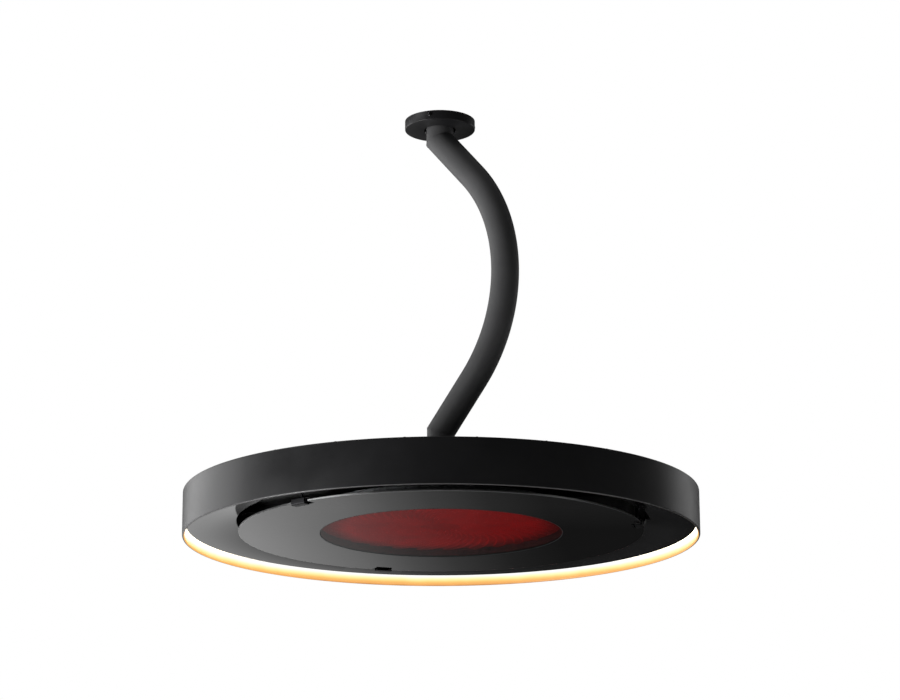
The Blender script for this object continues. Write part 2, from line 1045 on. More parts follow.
def bead_recipe() -> Recipe:
    """A round bead swept along the start mesh's edges, slightly uneven as a weld is.

    Returns:
        The recipe, with inputs Radius, Ripple and Seed.
    """
    r = Recipe("welded_bead", (("Radius", "Float", 0.001), ("Ripple", "Float", 0.1), ("Seed", "Int", 7)))
    path = r.add("GeometryNodeMeshToCurve", {"Mesh": r.given["Geometry"]})
    wobble = r.add("TexNoise", {"W": r.given["Seed"], "Scale": 420.0, "Detail": 1.0},
                   noise_dimensions="4D")
    swing = r.math("MULTIPLY", r.math("SUBTRACT", wobble.outputs[0], 0.5), r.given["Ripple"])
    size = r.math("ADD", 1.0, swing)
    wide = r.add("GeometryNodeSetCurveRadius", {"Curve": path.outputs[0], "Radius": size})
    ring = r.add("GeometryNodeCurvePrimitiveCircle", {"Resolution": 12, "Radius": r.given["Radius"]})
    sweep = r.add("GeometryNodeCurveToMesh", {"Curve": wide.outputs[0], "Profile Curve": ring.outputs[0]})
    if "Scale" in sweep.inputs:
        fill(sweep, {"Scale": size})
    r.close(sweep.outputs[0])
    return r


def ribbon_recipe() -> Recipe:
    """One petal's centreline repeated round the axis, joined, corrugated and swept with a flat strip.

    Returns:
        The recipe, with inputs Petals, Tail, Step, Wave, Depth, Thickness and Height.
    """
    r = Recipe("petal_ribbon", (("Petals", "Int", 26), ("Tail", "Int", 2), ("Step", "Float", 0.001),
                                ("Wave", "Float", 0.006), ("Depth", "Float", 0.0006),
                                ("Thickness", "Float", 0.001), ("Height", "Float", 0.006)))
    real = r.add("GeometryNodeRealizeInstances", {"Geometry": r.about(r.given["Petals"], r.given["Geometry"])})
    size = r.add("GeometryNodeAttributeDomainSize", {"Geometry": real.outputs[0]})
    last = r.math("SUBTRACT", size.outputs["Point Count"], r.math("ADD", r.given["Tail"], 1.5))
    index = r.add("GeometryNodeInputIndex").outputs[0]
    beyond = r.add("FunctionNodeCompare", {"A": index, "B": last}, operation="GREATER_THAN")
    opened = r.add("GeometryNodeDeleteGeometry", {"Geometry": real.outputs[0], "Selection": beyond.outputs[0]})
    chain = r.add("GeometryNodeMergeByDistance", {"Geometry": opened.outputs[0], "Distance": PETAL_JOINT})
    path = r.add("GeometryNodeMeshToCurve", {"Mesh": chain.outputs[0]})
    fine = r.add("GeometryNodeResampleCurve", {"Curve": path.outputs[0], "Length": r.given["Step"]}, mode="LENGTH")
    along = r.add("GeometryNodeSplineParameter").outputs["Length"]
    phase = r.math("MULTIPLY", r.math("DIVIDE", along, r.given["Wave"]), math.tau)
    swing = r.math("MULTIPLY", r.math("SINE", phase), r.given["Depth"])
    side = r.add("VectorMath", {0: r.add("GeometryNodeInputTangent").outputs[0], 1: (0.0, 0.0, 1.0)},
                 operation="CROSS_PRODUCT")
    shift = r.add("VectorMath", {0: side.outputs[0], "Scale": swing}, operation="SCALE")
    wavy = r.add("GeometryNodeSetPosition", {"Geometry": fine.outputs[0], "Offset": shift.outputs[0]})
    upright = r.add("GeometryNodeSetCurveNormal", {"Curve": wavy.outputs[0]}, mode="Z_UP")
    strip = r.add("GeometryNodeCurvePrimitiveQuadrilateral",
                  {"Width": r.given["Thickness"], "Height": r.given["Height"]})
    sweep = r.add("GeometryNodeCurveToMesh",
                  {"Curve": upright.outputs[0], "Profile Curve": strip.outputs[0], "Fill Caps": True})
    r.close(sweep.outputs[0])
    return r


# ---- The workshop that turns meshes into pieces


@dataclass
class Workshop:
    """Holds the finishes that are made once and hands out pieces."""

    frame: dict
    made: dict[str, Material] = field(default_factory=dict)
    ring: Recipe = field(default_factory=ring_recipe)

    def finish(self, finish: Finish) -> Material:
        """The material of a finish, made on its first use.

        Args:
            finish: The finish.

        Returns:
            The material.
        """
        if finish.name not in self.made:
            self.made[finish.name] = finish.material()
        return self.made[finish.name]

    def piece(self, mesh: Mesh, name: str, body: Body, slot: str, finishes: Sequence[Finish],
              replaces: Sequence[str] = ()) -> bpy.types.Object:
        """Makes a mesh a piece of the object.

        Args:
            mesh: The mesh, in its place.
            name: The piece's name.
            body: The body that it moves with.
            slot: The record's material slot.
            finishes: Its finishes, in the order of its material numbers.
            replaces: The frame's nodes that it stands for.

        Returns:
            The piece.
        """
        mesh.name = name
        while len(mesh.materials) > len(finishes):
            mesh.materials.pop()
        for number, finish in enumerate(finishes):
            if number < len(mesh.materials):
                mesh.materials[number] = self.finish(finish)
            else:
                mesh.materials.append(self.finish(finish))
        thing = placed(name, mesh)
        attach(thing, body.value)
        if replaces:
            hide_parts(*replaces)
        LOG.info("piece %s: %d faces", name, len(mesh.polygons))
        return thing

    def round_about(self, pattern: Mesh, name: str, count: int, start: float, finish: Finish) -> Mesh:
        """Repeats a pattern round the axis with the ring recipe.

        Args:
            pattern: The pattern at azimuth 0, which is removed.
            name: Name of the result.
            count: Number of copies.
            start: Azimuth of the first, in degrees.
            finish: The copies' finish.

        Returns:
            The mesh of all copies.
        """
        model = placed("pattern", pattern)
        mesh = self.ring.run(name, self.finish(finish), Pattern=model, Count=count, Start=start)
        discard(model)
        return mesh

    def dress(self, finish: Finish, *nodes: str) -> None:
        """Gives nodes of the frame a finish.

        Args:
            finish: The finish.
            *nodes: The nodes' names.
        """
        material = self.finish(finish)
        for node in nodes:
            thing = self.frame["nodes"][node]
            if not thing.material_slots:
                thing.data.materials.append(material)
            for slot in thing.material_slots:
                slot.material = material
            LOG.info("dressed %s", node)


BLACK = PowderCoat("black_powder_coat", (0.011, 0.011, 0.012, 1.0), 0.31, 0.42)
POLE_BLACK = PowderCoat("pole_powder_coat", (0.072, 0.072, 0.074, 1.0), 0.56, 0.68, 0.00008)
FASCIA_BLACK = PowderCoat("fascia_powder_coat", (0.004, 0.004, 0.0045, 1.0), 0.03, 0.05, 0.00001)
RIM_EDGE = Metal("worn_rim_edge", (0.27, 0.27, 0.275, 1.0), 0.40, 0.55)
SCREW_BLACK = Metal("blackened_screw", (0.060, 0.060, 0.062, 1.0), 0.20, 0.32)
ROD_BLACK = Metal("blackened_rod", (0.030, 0.030, 0.032, 1.0), 0.30, 0.46)
ZINC = Metal("zinc_plated_steel", (0.56, 0.57, 0.58, 1.0), 0.2, 0.38)
CLIP_STEEL = Metal("grey_clip_steel", (0.034, 0.034, 0.036, 1.0), 0.34, 0.50)
ALUMINIUM = Metal("mill_aluminium", (0.72, 0.73, 0.74, 1.0), 0.30, 0.48)
SHEET = Galvanised("galvanised_sheet")
NYLON = Moulded("natural_nylon", (0.78, 0.75, 0.68, 1.0), 0.40, 0.55)
CERAMIC = Moulded("white_ceramic", (0.80, 0.77, 0.70, 1.0), 0.5, 0.7, 900.0)
GREY_CASE = Moulded("grey_housing", (0.055, 0.057, 0.061, 1.0))
WHITE_CASE = Moulded("white_housing", (0.72, 0.73, 0.74, 1.0), 0.38, 0.52)
GASKET = Moulded("black_gasket", (0.012, 0.012, 0.012, 1.0), 0.7, 0.9, 700.0, 0.0001)
RUBBER = Moulded("black_rubber", (0.018, 0.018, 0.019, 1.0), 0.6, 0.8)
SEALANT = Moulded("grey_sealant", (0.013, 0.018, 0.019, 1.0), 0.45, 0.65, 600.0)
FIBRE = Insulation("mineral_fibre")
GLOWING_FIBRE = GlowingFibre("glowing_fibre_board")
RIBBON = GlowingRibbon("glowing_ribbon")
GLASS = SmokedGlass("smoked_glass")
WINDOW = SmokedGlass("window_glass", (0.56, 0.30, 0.305, 1.0), 1.082)
ENAMEL = BlackGlass("black_enamel_glass")
GLASS_EDGE = Metal("ground_glass_edge", (0.33, 0.335, 0.335, 1.0), 0.28, 0.40)
OPAL = OpalLight("opal_diffuser")
BOARD_LIGHT = OpalLight("light_board", 2.0)


# ---- Hardware


@dataclass(frozen=True)
class ButtonScrew:
    """A button headed screw on the Z axis, its seat at height 0, with a hexagon socket."""

    head_r: float
    head_h: float
    shank_r: float
    shank_l: float
    socket_r: float = 1.6
    lead_in: float = 0.4
    sides: int = 48

    def mesh(self) -> Mesh:
        """Builds the screw.

        Returns:
            The mesh.
        """
        dome = arc(self.head_r, self.head_h * 0.75, range(0, 76, 9), y=self.head_h * 0.25)
        outline = [(0, -self.shank_l), (self.shank_r * 0.8, -self.shank_l),
                   (self.shank_r, -self.shank_l + self.lead_in), (self.shank_r, 0.0), (self.head_r, 0.0)]
        outline += dome + [(0, self.head_h)]
        socket = prism("socket", arc(self.socket_r, self.socket_r, HEXAGON), self.head_h * 0.35, self.head_h + 1)
        return cut_away(turned("screw", outline, turns=self.sides), [socket])


@dataclass(frozen=True)
class HexBolt:
    """A hexagon headed bolt on the Z axis with a washer, its seat at height 0."""

    clearance_r: float = 4.25
    washer_in: float = 4.3
    washer_r: float = 8.6
    washer_t: float = 1.4
    across_corners_r: float = 7.2
    head_h: float = 3.9
    shank_r: float = 4.0
    shank_l: float = 26.5

    def head(self) -> Mesh:
        """The hexagon with its chamfered corners, standing on height 0.

        Returns:
            The mesh.
        """
        wide, high = self.across_corners_r, self.head_h
        inner, outer = wide * 0.88, wide * 1.1
        chamfer = turned("chamfer", [(inner, high + 1), (inner, high), (outer, high - wide * 0.14), (outer, high + 1)],
                         turns=48)
        return cut_away(prism("head", arc(wide, wide, HEXAGON), 0.0, high), [chamfer])

    def mesh(self) -> Mesh:
        """Builds the bolt and its washer.

        Returns:
            The mesh.
        """
        low, high = -self.shank_l, self.washer_t
        washer = turned("washer", rounded([(self.washer_in, 0, 0.1), (self.washer_r, 0, 0.2),
                                           (self.washer_r, high, 0.3), (self.washer_in, high, 0.2)], 3), turns=48)
        head = moved(self.head(), shifted(0, high))
        shank = turned("shank", [(0, low), (self.shank_r - 0.4, low), (self.shank_r, low + 0.5),
                                 (self.shank_r, high), (0, high)], turns=32)
        return joined("bolt", [washer, head, shank])


# ---- Sub-assemblies


@dataclass
class CeilingMount:
    """The plate, spigot and canopy on the ceiling."""

    shop: Workshop
    canopy_r: float = 73.5
    canopy_h: float = 20.0
    sheet: float = 1.2
    hole_r: float = 33.0
    top_gap: float = 0.3
    screw: ButtonScrew = ButtonScrew(4.75, 2.6, 1.9, 6.0)
    screw_count: int = 3
    screw_hole_r: float = 2.25
    screw_z: float = -8.0
    screw_az: float = 253.5

    def build(self) -> None:
        """Builds the canopy and its screws and dresses the plate and the spigot."""
        self.shop.dress(BLACK, "ceiling_plate")
        self.shop.dress(ZINC, "spigot")
        self.canopy()
        self.screws()

    def canopy(self) -> None:
        """The pressed cover with a rounded lower edge and a rolled hole."""
        r, h, t = self.canopy_r, self.canopy_h, self.sheet
        outline = rounded([(r - t, -self.top_gap, 0.2), (r - t, -h + t, 0.6), (self.hole_r, -h + t, 0.3),
                           (self.hole_r, -h, 0.4), (r, -h, 1.7), (r, -self.top_gap, 0.4)])
        holes = [moved(bar(self.screw_hole_r, -3, 3, 24), turn @ outward(r - t / 2, self.screw_z))
                 for turn in spread(self.screw_count, self.screw_az)]
        self.shop.piece(cut_away(turned("canopy", outline, turns=192), holes), "canopy_cover", Body.CEILING,
                        "pole_powder_coat", [BLACK], ["canopy"])

    def screws(self) -> None:
        """Three button headed screws through the canopy's side."""
        screw = moved(self.screw.mesh(), outward(self.canopy_r, self.screw_z))
        mesh = self.shop.round_about(screw, "canopy_side_screws", self.screw_count, self.screw_az, SCREW_BLACK)
        self.shop.piece(mesh, "canopy_side_screws", Body.CEILING, "black_screw", [SCREW_BLACK],
                        ["canopy_screws"])


@dataclass
class Pole:
    """The stubs and the bowed tube between them."""

    shop: Workshop
    tube_r: float = 28.5
    wall: float = 2.5
    stub_top: float = -5.8
    neck_z: float = -43.0
    foot_z: float = -797.0
    lean: float = 42.5
    leg: float = 131.0
    bend_r: float = 322.5
    azimuth: float = -40.5
    screw: ButtonScrew = ButtonScrew(4.0, 3.0, 2.5, 7.2)
    screw_z: float = -24.5
    screw_az: float = 185.0
    sides: int = 96
    leg_steps: int = 4
    bow_steps: int = 64
    mitre_bead_r: float = 0.4
    foot_bead_r: float = 1.4
    foot_bead_gap: float = 0.4
    bead_steps: int = 144
    bead_ripple: float = 0.3
    first_seed: int = 3

    def low_z(self) -> float:
        """Height of the lower mitre on the axis."""
        a = math.radians(self.lean)
        return self.neck_z - 2 * (self.leg * math.cos(a) + self.bend_r * math.sin(a))

    def mitre(self) -> float:
        """Slope of a mitre's plane."""
        return math.tan(math.radians(self.lean / 2))

    def build(self) -> None:
        """Builds the tube, the stubs, their welds and the neck's screws."""
        self.bowed_tube()
        self.stub("upper_tube", self.stub_top, self.neck_z, 1, "upper_stub")
        self.stub("lower_tube", self.foot_z, self.low_z(), -1, "lower_stub")
        self.welds()
        self.shop.dress(NYLON, "swivel_bush")
        self.neck_screws()

    def centreline(self) -> list[Place]:
        """Points of the bowed tube's centreline with the lean of the tube there.

        Returns:
            Rows of distance from the axis, height and lean in degrees.
        """
        a, n, low = math.radians(self.lean), self.leg_steps, self.low_z()
        x, drop = self.leg * math.sin(a), self.leg * math.cos(a)
        cx, cz = x - self.bend_r * math.cos(a), self.neck_z - drop - self.bend_r * math.sin(a)
        rows = [(x * k / n, self.neck_z - drop * k / n, self.lean) for k in range(n)]
        for k in range(self.bow_steps + 1):
            lean = self.lean * (1 - 2 * k / self.bow_steps)
            s = math.radians(lean)
            rows.append((cx + self.bend_r * math.cos(s), cz + self.bend_r * math.sin(s), lean))
        rows += [(x * k / n, low + drop * k / n, -self.lean) for k in range(n - 1, -1, -1)]
        return rows

    def tube(self, radius: float) -> list[Place]:
        """Rings of the tube's surface, with the end rings in the planes of the mitres.

        Args:
            radius: Radius of the surface.

        Returns:
            The rings' points one after another.
        """
        rows = self.centreline()
        points = []
        for n, (x, z, lean) in enumerate(rows):
            s = math.radians(lean)
            along = Vector((math.sin(s), 0, -math.cos(s)))
            out = Vector((math.cos(s), 0, math.sin(s)))
            for u, v in arc(radius, radius, all_round(self.sides)):
                p = Vector((x, 0, z)) + out * u + Vector((0, 1, 0)) * v
                if n in (0, len(rows) - 1):
                    half = math.radians(self.lean / 2) * (1 if n == 0 else -1)
                    normal = Vector((math.sin(half), 0, -math.cos(half)))
                    p += along * (Vector((x, 0, z)) - p).dot(normal) / along.dot(normal)
                points.append(tuple(p))
        return points

    def bowed_tube(self) -> None:
        """The tube with its bore, closed at both ends by the mitres' flat rings."""
        outer, inner = self.tube(self.tube_r), self.tube(self.tube_r - self.wall)
        rings, m, shift = len(outer) // self.sides, self.sides, len(outer)
        faces = []
        for i in range(rings - 1):
            for k in range(m):
                n = (k + 1) % m
                quad = (i * m + k, i * m + n, (i + 1) * m + n, (i + 1) * m + k)
                faces += [quad, tuple(shift + q for q in reversed(quad))]
        for i in (0, rings - 1):
            faces += [(i * m + k, i * m + (k + 1) % m, shift + i * m + (k + 1) % m, shift + i * m + k)
                      for k in range(m)]
        mesh = closed_mesh("bowed_tube", outer + inner, faces)
        self.shop.piece(moved(mesh, about_axis(self.azimuth)), "bowed_tube", Body.HANGER, "pole_powder_coat",
                        [POLE_BLACK], ["pole_bow", "pole_legs"])

    def stub(self, name: str, flat_z: float, mitre_z: float, sign: int, node: str) -> None:
        """One of the upright tubes above and below, cut to its mitre.

        Args:
            name: The piece's name.
            flat_z: Height of its square end.
            mitre_z: Height of its mitre on the axis.
            sign: 1 where the mitre is the lower end, and -1 where it is the upper end.
            node: The frame's node that it stands for.
        """
        slope = self.mitre() * sign
        m, verts, faces = self.sides, [], []
        for radius in (self.tube_r, self.tube_r - self.wall):
            ring = arc(radius, radius, all_round(m))
            verts += [(x, y, flat_z) for x, y in ring]
            verts += [(x, y, mitre_z + x * slope) for x, y in ring]
        for k in range(m):
            n = (k + 1) % m
            faces += [(k, n, m + n, m + k), (2 * m + k, 2 * m + n, 3 * m + n, 3 * m + k),
                      (k, n, 2 * m + n, 2 * m + k), (m + k, m + n, 3 * m + n, 3 * m + k)]
        mesh = moved(closed_mesh(name, verts, faces), about_axis(self.azimuth))
        self.shop.piece(mesh, name, Body.HANGER, "pole_powder_coat", [POLE_BLACK], [node])

    def welds(self) -> None:
        """Dressed weld beads along the two mitres and round the foot."""
        bead, slope, foot_r = bead_recipe(), self.mitre(), self.tube_r + self.foot_bead_gap
        loops = [([(x, y, z + x * slope * sign) for x, y in arc(self.tube_r, self.tube_r, all_round(self.bead_steps))],
                  self.mitre_bead_r) for z, sign in ((self.neck_z, 1), (self.low_z(), -1))]
        loops.append(([(x, y, self.foot_z + self.foot_bead_gap)
                       for x, y in arc(foot_r, foot_r, all_round(self.bead_steps))], self.foot_bead_r))
        parts = [bead.run("weld", self.shop.finish(POLE_BLACK), wire("weld_path", loop, True), Radius=bead_r * MM,
                          Ripple=self.bead_ripple, Seed=self.first_seed + number)
                 for number, (loop, bead_r) in enumerate(loops)]
        mesh = moved(joined("pole_welds", parts), about_axis(self.azimuth))
        self.shop.piece(mesh, "pole_welds", Body.HANGER, "pole_powder_coat", [POLE_BLACK])

    def neck_screws(self) -> None:
        """The two screws whose tips run in the spigot's groove."""
        screw = moved(self.screw.mesh(), outward(self.tube_r, self.screw_z))
        mesh = self.shop.round_about(screw, "neck_side_screws", 2, self.screw_az, SCREW_BLACK)
        self.shop.piece(mesh, "neck_side_screws", Body.HANGER, "black_screw", [SCREW_BLACK], ["neck_screws"])


@dataclass
class Housing:
    """The head's wall, top, hub and carrier frame.

    Along the hem, angles count from the outside of the wall: it is worn bright from worn_from to worn_to, and
    the film inside ends at lit_to.
    """

    shop: Workshop
    head_r: float = 523.0
    wall: float = 2.0
    corner_r: float = 3.0
    top_z: float = -805.0
    top_gap: float = 0.3
    rim_z: float = -896.0
    flange_w: float = 16.0
    hem_r: float = 2.5
    hem_steps: int = 24
    worn_from: float = 231.0
    worn_to: float = 320.0
    slot_z: float = -873.5
    film: float = 0.15
    film_above: float = 3.0
    film_steps: int = 16
    lit_to: float = 252.0
    rivet_r: float = 3.6
    rivet_h: float = 1.7
    rivet_count: int = 24
    hub_r: float = 70.0
    hub_t: float = 8.0
    wire_r: float = 14.0
    bolt: HexBolt = HexBolt()
    bolt_count: int = 4
    bolt_pcd: float = 100.0
    bolt_az: float = 45.0

    def build(self) -> None:
        """Builds the wall, the top plate, the rivets and the hub, and dresses the frame inside."""
        self.band()
        self.lining()
        self.top()
        self.rivets()
        self.hub()
        self.shop.dress(ZINC, "hub_nuts")
        self.shop.dress(BLACK, "carrier_frame")
        self.shop.dress(RUBBER, "cable_gland")

    def wall_angle(self, radius: float, reaches: float) -> float:
        """Angle at which a circle about the hem's middle meets an upright face.

        Args:
            radius: The circle's radius.
            reaches: The face's distance from the head's axis.

        Returns:
            The angle in degrees.
        """
        return math.degrees(math.acos((reaches - self.head_r + self.hem_r) / radius))

    def band(self) -> None:
        """The wall with a turned in top flange and a rolled hem, rubbed bright along its lowest edge."""
        r, t, hem, corner = self.head_r, self.wall, self.hem_r, self.corner_r
        inside, under = r - t, self.top_z - t
        first = self.wall_angle(hem, inside)
        outline = [(r - self.flange_w, under), (inside - 1.0, under), (inside - 0.3, under - 0.3),
                   (inside, under - 1.0), (inside, self.slot_z)]
        angles = [first + (360.0 - first) * k / self.hem_steps for k in range(self.hem_steps + 1)]
        outline += arc(hem, hem, angles, r - hem, self.rim_z + hem)
        edge_from = len(outline) - sum(a > self.worn_from for a in angles)
        edge_to = len(outline) - sum(a > self.worn_to for a in angles)
        outline += arc(corner, corner, range(0, 91, 15), r - corner, self.top_z - corner)
        outline.append((r - self.flange_w, self.top_z))
        zones = [1 if edge_from <= i < edge_to else 0 for i in range(len(outline))]
        wall = self.shop.piece(turned("head_wall", outline, zones, turns=FINE_TURNS), "head_wall", Body.HANGER,
                               "black_powder_coat", [BLACK, RIM_EDGE], ["outer_band"])
        wall.visible_glossy = False

    def lining(self) -> None:
        """The pale film inside the wall below the slot that the light ring washes.

        The fascia in the photograph shows no image of the lit wall, so the film and the wall stay out of mirrors.
        """
        r, low, high = self.head_r - self.wall, self.rim_z, self.slot_z + self.film_above
        centre = self.head_r - self.hem_r

        def hem_arc(radius: float, reaches: float) -> list[Point]:
            """Points on a circle about the hem's middle, from the wall to the end of the film.

            Args:
                radius: The circle's radius.
                reaches: Distance from the head's axis at which it meets the wall.

            Returns:
                The points.
            """
            first = self.wall_angle(radius, reaches)
            angles = [first + (self.lit_to - first) * k / self.film_steps for k in range(self.film_steps + 1)]
            return [(x, max(low, z)) for x, z in arc(radius, radius, angles, centre, low + self.hem_r)]

        outline = [(r, high)] + hem_arc(self.hem_r, r) + hem_arc(self.hem_r + self.film, r - self.film)[::-1]
        outline.append((r - self.film, high))
        wash = LitWall("lit_wall", self.slot_z * MM, self.rim_z * MM)
        film = self.shop.piece(turned("wall_lining", outline, turns=FINE_TURNS), "wall_lining", Body.HANGER,
                               "black_powder_coat", [wash])
        film.visible_glossy = False
        film.visible_diffuse = False

    def top(self) -> None:
        """The flat top sheet under the wall's flange."""
        high, t, r = self.top_z - self.wall, self.wall, self.head_r - self.wall - self.top_gap
        outline = rounded([(self.wire_r, high - t, 0.2), (r, high - t, 0.2), (r, high, 0.2),
                           (self.wire_r, high, 0.2)], 2)
        self.shop.piece(turned("top_sheet", outline), "top_sheet", Body.HANGER, "black_powder_coat", [BLACK],
                        ["top_plate"])

    def rivets(self) -> None:
        """Domed blind rivets round the top flange, each with the end of its mandrel."""
        r, h = self.rivet_r, self.rivet_h
        outline = [(0, -4.0), (2.0, -4.0), (2.0, 0.0), (r, 0.0)] + arc(r, h, range(0, 80, 11))
        outline += [(1.0, h), (0.8, h - 0.6), (0, h - 0.6)]
        rivet = moved(turned("rivet", outline, turns=28), shifted(self.head_r - self.flange_w / 2, self.top_z))
        ring = self.shop.round_about(rivet, "top_rivets", self.rivet_count, 180 / self.rivet_count, SCREW_BLACK)
        self.shop.piece(ring, "top_rivets", Body.HANGER, "black_rivet", [SCREW_BLACK], ["rim_rivets"])

    def hub(self) -> None:
        """The flange under the pole and its four bolts."""
        top, at = self.top_z + self.hub_t, self.bolt_pcd / 2
        outline = rounded([(self.wire_r, self.top_z, 0.3), (self.hub_r, self.top_z, 0.4), (self.hub_r, top, 2.2),
                           (self.wire_r, top, 0.6)])
        holes = [moved(bar(self.bolt.clearance_r, -20, 20, 32), turn @ shifted(at, top))
                 for turn in spread(self.bolt_count, self.bolt_az)]
        self.shop.piece(cut_away(turned("hub", outline, turns=144), holes), "hub_disc", Body.HANGER,
                        "black_powder_coat", [BLACK], ["hub_flange"])
        bolt = moved(self.bolt.mesh(), shifted(at, top))
        ring = self.shop.round_about(bolt, "hub_hex_bolts", self.bolt_count, self.bolt_az, ZINC)
        self.shop.piece(ring, "hub_hex_bolts", Body.HANGER, "plated_steel", [ZINC], ["hub_bolts"])


@dataclass
class LightRing:
    """The fascia, the light slot and what lights it."""

    shop: Workshop
    fascia_r: float = 516.5
    opening_r: float = 413.0
    fascia_z: float = -874.0
    rise: float = 12.0
    sheet: float = 1.5
    edge_h: float = 9.0
    upstand: float = 12.0
    notch_w: float = 115.0
    notch_depth: float = 8.0
    notch_corner: float = 10.0
    notch_reach: float = 30.0
    clip_count: int = 3
    clip_az: float = 108.0
    band_r: float = 521.0
    opal_gap: float = 0.3
    opal_up: float = 2.0
    opal_h: float = 7.0

    def build(self) -> None:
        """Builds the fascia and the diffuser and dresses the channel, the strip and the posts."""
        self.fascia()
        self.diffuser()
        self.shop.dress(ALUMINIUM, "led_channel")
        self.shop.dress(BOARD_LIGHT, "led_strip")
        self.shop.dress(ALUMINIUM, "fascia_posts")

    def fascia(self) -> None:
        """The dished ring with turned up edges and a notch at each clip."""
        lo, hi, t = self.fascia_z, self.fascia_z + self.rise, self.sheet
        top, edge = hi + self.upstand, lo + self.edge_h
        outline = rounded([(self.opening_r, top, 0.3), (self.opening_r, hi, 3.0), (self.fascia_r, lo, 3.0),
                           (self.fascia_r, edge, 0.3), (self.fascia_r - t, edge, 0.3),
                           (self.fascia_r - t, lo + t, 1.5), (self.opening_r + t, hi + t, 1.5),
                           (self.opening_r + t, top, 0.3)])
        half, floor, corner = self.notch_w / 2, self.opening_r + self.notch_depth, self.notch_corner
        back = floor - self.notch_reach
        shape = rounded([(back, -half, 0), (floor, -half, corner), (floor, half, corner), (back, half, 0)], 8)
        cutters = [moved(prism("notch", shape, lo - OVER, top + OVER), turn)
                   for turn in spread(self.clip_count, self.clip_az)]
        self.shop.piece(cut_away(turned("fascia", outline, turns=FINE_TURNS), cutters), "fascia_dish", Body.HANGER,
                        "black_powder_coat", [FASCIA_BLACK], ["fascia_ring"])

    def diffuser(self) -> None:
        """The opal ring in the slot."""
        lo, hi = self.fascia_z + self.opal_up, self.fascia_z + self.opal_up + self.opal_h
        inner, outer = self.fascia_r + self.opal_gap, self.band_r - self.opal_gap
        outline = rounded([(inner, lo, 0.5), (outer, lo, 0.5), (outer, hi, 0.2), (inner, hi, 0.2)], 4)
        self.shop.piece(turned("diffuser", outline, turns=FINE_TURNS), "opal_ring", Body.HANGER, "opal_diffuser",
                        [OPAL], ["diffuser_ring"])


@dataclass
class GlassPanel:
    """The glass, its enamel, its bead and the clips that hold it."""

    shop: Workshop
    glass_r: float = 410.5
    glass_z: float = -884.3
    glass_t: float = 4.0
    chamfer: float = 0.7
    window_r: float = 245.0
    print_t: float = 0.3
    print_margin: float = 1.0
    bead_r: float = 0.6
    bead_h: float = 0.35
    notch_w: float = 35.0
    notch_depth: float = 21.5
    notch_shift: float = 6.5
    notch_corner: float = 5.0
    notch_reach: float = 6.0
    clip_count: int = 3
    clip_az: float = 108.0
    clip_w: float = 34.0
    clip_t: float = 1.5
    bend_out: float = 3.2
    bend_in: float = 1.7
    lip_z: float = -888.0
    clip_top: float = -873.5
    web_r: float = 412.7
    lip_in: float = 397.0
    flange_in: float = 388.0

    def build(self) -> None:
        """Builds the glass, the enamel, the bead and the clips and dresses the hardware."""
        self.glass()
        self.enamel()
        self.bead()
        self.clips()
        self.shop.dress(GASKET, "clip_pads_lower", "clip_pads_upper")
        self.shop.dress(ROD_BLACK, "hanger_rods", "hanger_nuts")

    def notches(self) -> list[Mesh]:
        """Cutters for the notches in the glass's edge.

        Returns:
            The cutters' meshes.
        """
        floor, past, corner = self.glass_r - self.notch_depth, self.glass_r + self.notch_reach, self.notch_corner
        low, high = self.notch_shift - self.notch_w / 2, self.notch_shift + self.notch_w / 2
        shape = rounded([(floor, low, corner), (past, low, 0), (past, high, 0), (floor, high, corner)], 8)
        return [moved(prism("notch", shape, self.glass_z - OVER, self.glass_z + self.glass_t + OVER), turn)
                for turn in spread(self.clip_count, self.clip_az)]

    def glass(self) -> None:
        """The sheet with ground and polished edges, clear in the middle."""
        r, lo, hi, cut = self.glass_r, self.glass_z, self.glass_z + self.glass_t, self.chamfer
        outline = [(0, lo), (self.window_r, lo), (r - cut, lo), (r, lo + cut), (r, hi - cut), (r - cut, hi),
                   (self.window_r, hi), (0, hi)]
        zones = [2, 0, 1, 1, 1, 0, 2, 2]
        mesh = cut_away(turned("glass", outline, zones, turns=FINE_TURNS, crease=20), self.notches())
        self.shop.piece(mesh, "glass_sheet", Body.HANGER, "smoked_glass",
                        [GLASS, GLASS_EDGE, WINDOW], ["glass_panel"])

    def enamel(self) -> None:
        """The black enamel on the glass's back, open at the window."""
        lo, r = self.glass_z + self.glass_t, self.glass_r - self.print_margin
        hi = lo + self.print_t
        mesh = turned("enamel", [(self.window_r, lo), (r, lo), (r, hi), (self.window_r, hi)], turns=FINE_TURNS)
        self.shop.piece(cut_away(mesh, self.notches()), "enamel_border", Body.HANGER, "black_enamel", [ENAMEL],
                        ["glass_print"])

    def bead(self) -> None:
        """The thin bead round the window, below the glass."""
        outline = arc(-self.bead_r, -self.bead_h, range(0, 181, 15), self.window_r + self.bead_r, self.glass_z)
        self.shop.piece(turned("bead", outline, turns=FINE_TURNS, crease=60), "window_seal", Body.HANGER,
                        "grey_sealant", [SEALANT], ["window_bead"])

    def clips(self) -> None:
        """Bent steel clips that reach under the glass, one pattern repeated three times."""
        t, lo, hi, web, half = self.clip_t, self.lip_z, self.clip_top, self.web_r, self.clip_w / 2
        outline = rounded([(self.lip_in, lo, 0.4), (web, lo, self.bend_out), (web, hi, self.bend_out),
                           (self.flange_in, hi, 0.4), (self.flange_in, hi - t, 0.4), (web - t, hi - t, self.bend_in),
                           (web - t, lo + t, self.bend_in), (self.lip_in, lo + t, 0.4)], 7)
        mesh = moved(prism("clip", outline, -half, half), Matrix.Rotation(QUARTER, 4, "X"))
        ring = self.shop.round_about(mesh, "glass_clip_set", self.clip_count, self.clip_az, CLIP_STEEL)
        self.shop.piece(ring, "glass_clip_set", Body.HANGER, "clip_steel", [CLIP_STEEL], ["glass_clips"])


